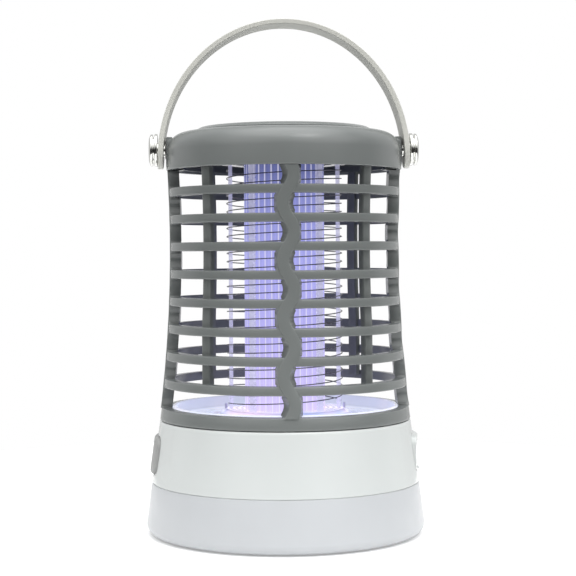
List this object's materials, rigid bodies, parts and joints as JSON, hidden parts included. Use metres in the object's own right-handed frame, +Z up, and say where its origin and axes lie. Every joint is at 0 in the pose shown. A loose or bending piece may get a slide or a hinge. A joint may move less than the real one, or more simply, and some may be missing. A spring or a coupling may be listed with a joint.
{
  "type": "electric bug zapper",
  "caption": "Lantern-shaped rechargeable insect killer: ring cage round a lit lamp and wound wire grid, milky night-light base, swinging strap handle.",
  "frame": {"origin": "centre of the footprint, on the surface that the feet stand on", "axes": "+Z up along the axis of the cage, front towards -Y, power button on the -X side, charging port on the +X side"},
  "size_m": [0.12, 0.12, 0.2215],
  "materials": {
    "white_housing": "smooth glossy moulded ABS",
    "milky_diffuser": "translucent milky polycarbonate, polished",
    "grey_cage": "semi-gloss moulded grey ABS",
    "button_grey": "soft-touch silicone",
    "foot_rubber": "matt rubber",
    "strap_plastic": "satin flexible plastic",
    "chrome": "polished nickel plate",
    "steel": "zinc-plated steel",
    "grid_wire": "bright drawn steel wire",
    "clear_plastic": "clear polycarbonate, polished",
    "lamp_plastic": "ribbed clear polycarbonate lit from inside by ultraviolet LEDs",
    "board_white": "white solder mask",
    "board_green": "green solder mask",
    "led_yellow": "phosphor-filled LED package",
    "black_plastic": "black nylon",
    "cell_wrap": "shrink wrap",
    "winding_tape": "yellow winding tape",
    "capacitor_sleeve": "blue sleeve"
  },
  "bodies": {
    "base": {"base_housing": "white_housing", "diffuser": "milky_diffuser", "bottom_cover": "white_housing", "base_screws": "steel", "feet": "foot_rubber", "night_light_board": "board_white", "night_light_leds": "led_yellow", "board_spacers": "steel", "main_board": "board_green", "control_chip": "black_plastic", "hv_transformer": "winding_tape", "hv_capacitors": "capacitor_sleeve", "battery_holder": "black_plastic", "battery_cell": "cell_wrap", "cell_contacts": "steel", "charge_board": "board_green", "usb_socket": "steel", "switch_board": "board_green", "tact_switch": "black_plastic", "port_strap": "white_housing", "floor_dish": "clear_plastic", "grid_base": "clear_plastic", "grid_posts": "clear_plastic", "grid_top": "clear_plastic", "grid_wire_live": "grid_wire", "grid_wire_return": "grid_wire", "grid_leads": "black_plastic", "lamp_tube": "lamp_plastic", "uv_board": "board_white", "uv_leds": "led_yellow"},
    "head": {"cage": "grey_cage", "cap": "grey_cage", "cap_disc": "grey_cage", "cap_screws": "steel", "pivot_washers": "chrome", "pivot_screw_left": "chrome", "pivot_screw_right": "chrome"},
    "carry_handle": {"handle": "strap_plastic"},
    "button": {"power_button": "button_grey"},
    "cover": {"port_cover": "white_housing"}
  },
  "joints": [
    {"name": "cage_twist", "type": "hinge", "parent": "base", "child": "head", "pos_m": [0, 0, 0.0493], "axis": [0, 0, 1], "range_deg": [0, 15]},
    {"name": "handle_swing", "type": "hinge", "parent": "head", "child": "carry_handle", "pos_m": [0, 0, 0.1656], "axis": [1, 0, 0], "range_deg": [-95, 95]},
    {"name": "button_press", "type": "slide", "parent": "base", "child": "button", "axis": [1, 0, 0], "range_m": [0, 0.0008], "stiffness_N_per_m": 1500},
    {"name": "port_cover_open", "type": "hinge", "parent": "base", "child": "cover", "pos_m": [0.057, 0, 0.028], "axis": [0, 1, 0], "range_deg": [0, 110]}
  ]
}
